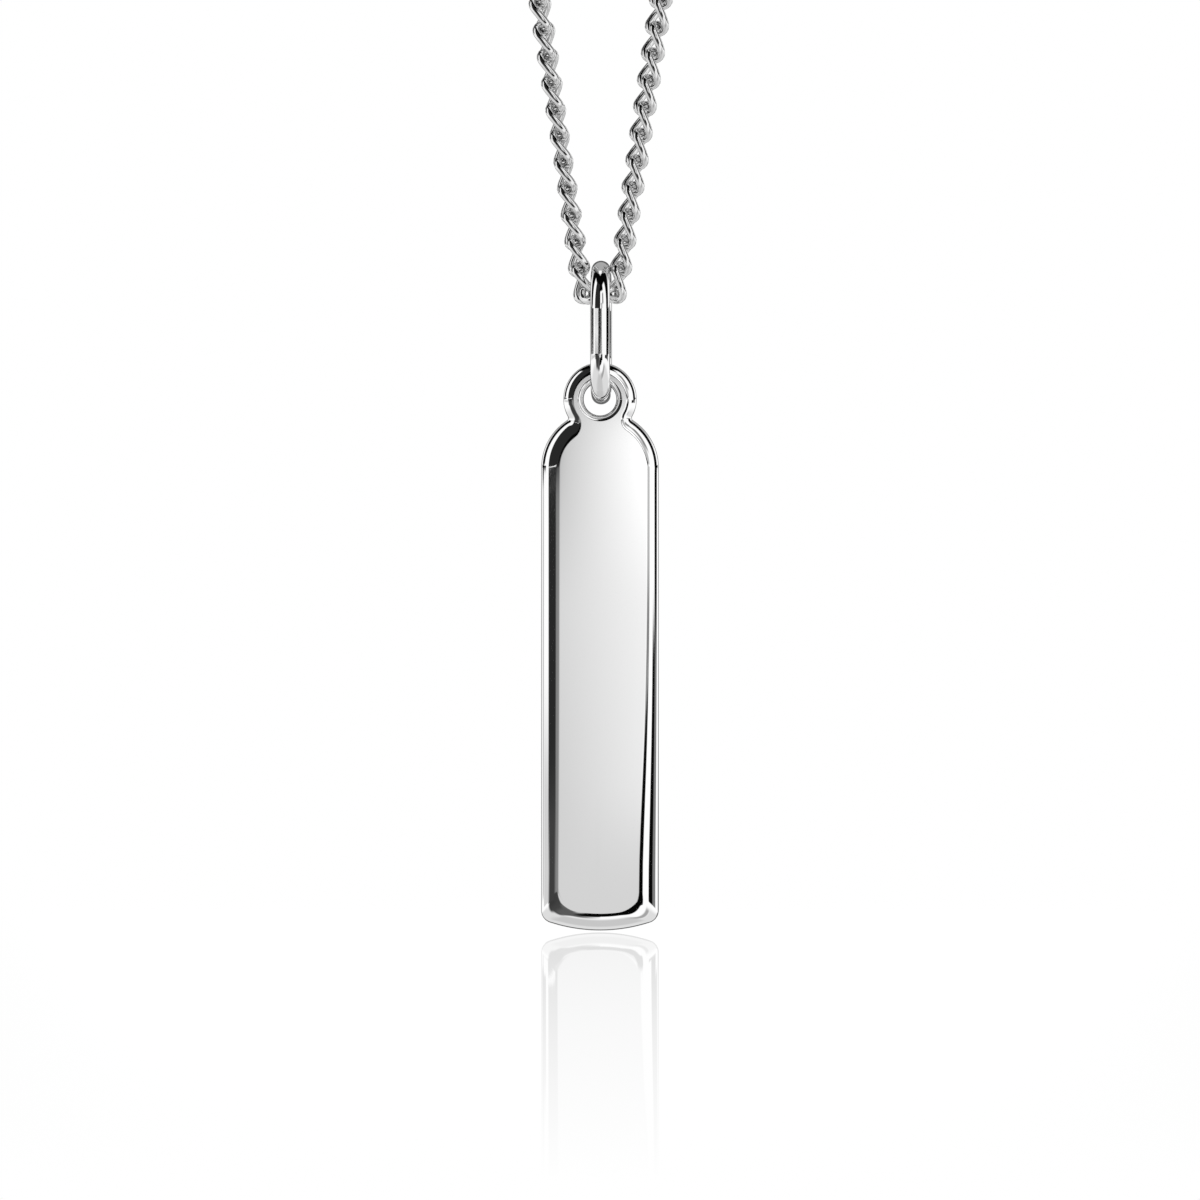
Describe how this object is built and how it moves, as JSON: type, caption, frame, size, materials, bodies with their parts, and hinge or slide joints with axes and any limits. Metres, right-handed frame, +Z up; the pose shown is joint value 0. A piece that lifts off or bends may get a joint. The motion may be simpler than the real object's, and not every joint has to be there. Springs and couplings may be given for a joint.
{
  "type": "bar pendant",
  "caption": "Polished silver bar pendant with a rounded lobe, hung by an oval jump ring from a fine curb chain closed by a plain clasp.",
  "frame": {"origin": "hang point at the top of the neck loop, on the underside of the clasp", "axes": "+Z up, the way the chain hangs; +X to the right as the bar is seen from the front; the bar's front faces -Y"},
  "size_m": [0.0558, 0.005, 0.2398],
  "materials": {
    "bar_silver": "mirror-polished silver",
    "ring_silver": "polished drawn silver wire, soldered",
    "chain_silver": "polished silver curb chain",
    "clasp_silver": "polished silver"
  },
  "bodies": {
    "chain": {"chain_links": "chain_silver", "chain_run": "chain_silver", "clasp": "clasp_silver"},
    "bail": {"jump_ring": "ring_silver"},
    "pendant": {"bar": "bar_silver"}
  },
  "joints": [
    {"name": "bail_swing", "type": "hinge", "parent": "chain", "child": "bail", "pos_m": [0, 0, -0.20603], "axis": [1, 0, 0], "range_deg": [-90, 90]},
    {"name": "bar_swing", "type": "hinge", "parent": "bail", "child": "pendant", "pos_m": [0, 0, -0.21118], "axis": [0, 1, 0], "range_deg": [-110, 110]}
  ]
}
